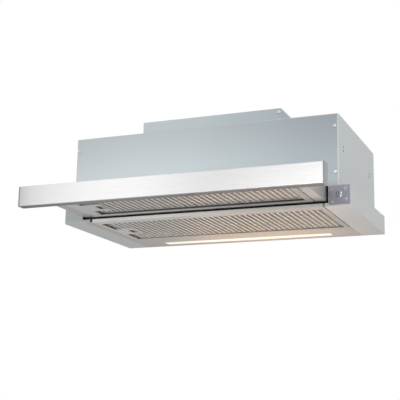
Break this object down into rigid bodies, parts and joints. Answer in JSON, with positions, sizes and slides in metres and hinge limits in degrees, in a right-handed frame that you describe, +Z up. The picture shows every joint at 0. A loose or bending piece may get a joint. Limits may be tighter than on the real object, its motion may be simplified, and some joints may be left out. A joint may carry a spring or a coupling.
{
  "type": "pull out range hood",
  "caption": "Built-in range hood with a pull out visor on ball slides, drop-down filter cassette, touch panel, blower and round outlet.",
  "frame": {"origin": "underside, at the middle of the width and of the overall depth with the visor pulled out", "axes": "+X to the right seen from the front, +Y from the front strip to the back, +Z up to the outlet"},
  "size_m": [0.598, 0.476, 0.245],
  "materials": {
    "grey_panel": "satin grey",
    "strip_steel": "brushed along its length",
    "cap_grey": "satin",
    "filter_aluminium": "plain",
    "bare_steel": "zinc plated",
    "dark_plastic": "moulded",
    "light_plastic": "moulded",
    "motor_steel": "satin",
    "circuit_board": "solder mask",
    "capacitor_can": "drawn",
    "panel_glass": "printed from behind",
    "display_black": "gloss",
    "led_lens": "frosted, lit warm white",
    "board_white": "solder mask"
  },
  "bodies": {
    "housing": {"base_frame": "grey_panel", "front_panel": "grey_panel", "side_panel_left": "grey_panel", "side_panel_right": "grey_panel", "rear_panel": "grey_panel", "top_panel": "grey_panel", "raised_cover": "grey_panel", "bottom_pan": "grey_panel", "outlet_collar": "dark_plastic", "scroll_left": "dark_plastic", "scroll_right": "dark_plastic", "motor": "motor_steel", "motor_bracket": "bare_steel", "control_box": "dark_plastic", "control_lid": "dark_plastic", "control_board": "circuit_board", "capacitor": "capacitor_can", "cable_gland": "dark_plastic", "led_diffuser": "led_lens", "led_board": "board_white", "led_housing": "light_plastic", "touch_glass": "panel_glass", "touch_case": "dark_plastic", "touch_board": "circuit_board", "display": "display_black", "outer_rail_left": "bare_steel", "outer_rail_right": "bare_steel", "visor_sensor": "dark_plastic", "front_screws": "bare_steel", "cover_screws": "bare_steel", "ledge_screws": "dark_plastic", "collar_screws": "bare_steel", "side_rivets": "bare_steel"},
    "visor": {"front_strip": "strip_steel", "strip_cap_left": "cap_grey", "strip_cap_right": "cap_grey", "visor_frame": "grey_panel", "visor_top": "grey_panel", "upper_filter_frame": "filter_aluminium", "upper_filter_mesh": "filter_aluminium", "upper_filter_pad": "filter_aluminium", "upper_latch_case": "bare_steel", "inner_rail_left": "bare_steel", "inner_rail_right": "bare_steel", "visor_magnet": "dark_plastic"},
    "upper_latch": {"upper_latch": "light_plastic"},
    "slide_cages": {"ball_cage_left": "bare_steel", "ball_cage_right": "bare_steel"},
    "lower_filter": {"lower_filter_frame": "filter_aluminium", "lower_filter_mesh": "filter_aluminium", "lower_filter_pad": "filter_aluminium", "lower_latch_case": "bare_steel"},
    "lower_latch": {"lower_latch": "light_plastic"},
    "fan": {"impeller": "light_plastic", "motor_shaft": "bare_steel"},
    "flap_front": {"flap_front": "light_plastic"},
    "flap_rear": {"flap_rear": "light_plastic"}
  },
  "joints": [
    {"name": "visor_slide", "type": "slide", "parent": "housing", "child": "visor", "axis": [0, 1, 0], "range_m": [0, 0.155]},
    {"name": "cage_slide", "type": "slide", "parent": "housing", "child": "slide_cages", "axis": [0, 1, 0], "range_m": [0, 0.0775]},
    {"name": "upper_latch_slide", "type": "slide", "parent": "visor", "child": "upper_latch", "axis": [1, 0, 0], "range_m": [0, 0.004], "stiffness_N_per_m": 600, "springref_m": -0.004},
    {"name": "lower_filter_drop", "type": "hinge", "parent": "housing", "child": "lower_filter", "pos_m": [0.24975, 0.0385, 0], "axis": [0, -1, 0], "range_deg": [0, 80]},
    {"name": "lower_latch_slide", "type": "slide", "parent": "lower_filter", "child": "lower_latch", "axis": [1, 0, 0], "range_m": [0, 0.004], "stiffness_N_per_m": 600, "springref_m": -0.004},
    {"name": "fan_spin", "type": "hinge", "parent": "housing", "child": "fan", "pos_m": [0, 0.092, 0.138], "axis": [1, 0, 0], "continuous": true},
    {"name": "flap_front_swing", "type": "hinge", "parent": "housing", "child": "flap_front", "pos_m": [0, 0.1395, 0.225], "axis": [-1, 0, 0], "range_deg": [0, 80]},
    {"name": "flap_rear_swing", "type": "hinge", "parent": "housing", "child": "flap_rear", "pos_m": [0, 0.1485, 0.225], "axis": [1, 0, 0], "range_deg": [0, 80]}
  ],
  "couplings": [
    {"joint": "cage_slide", "follows": "visor_slide", "ratio": 0.5}
  ]
}
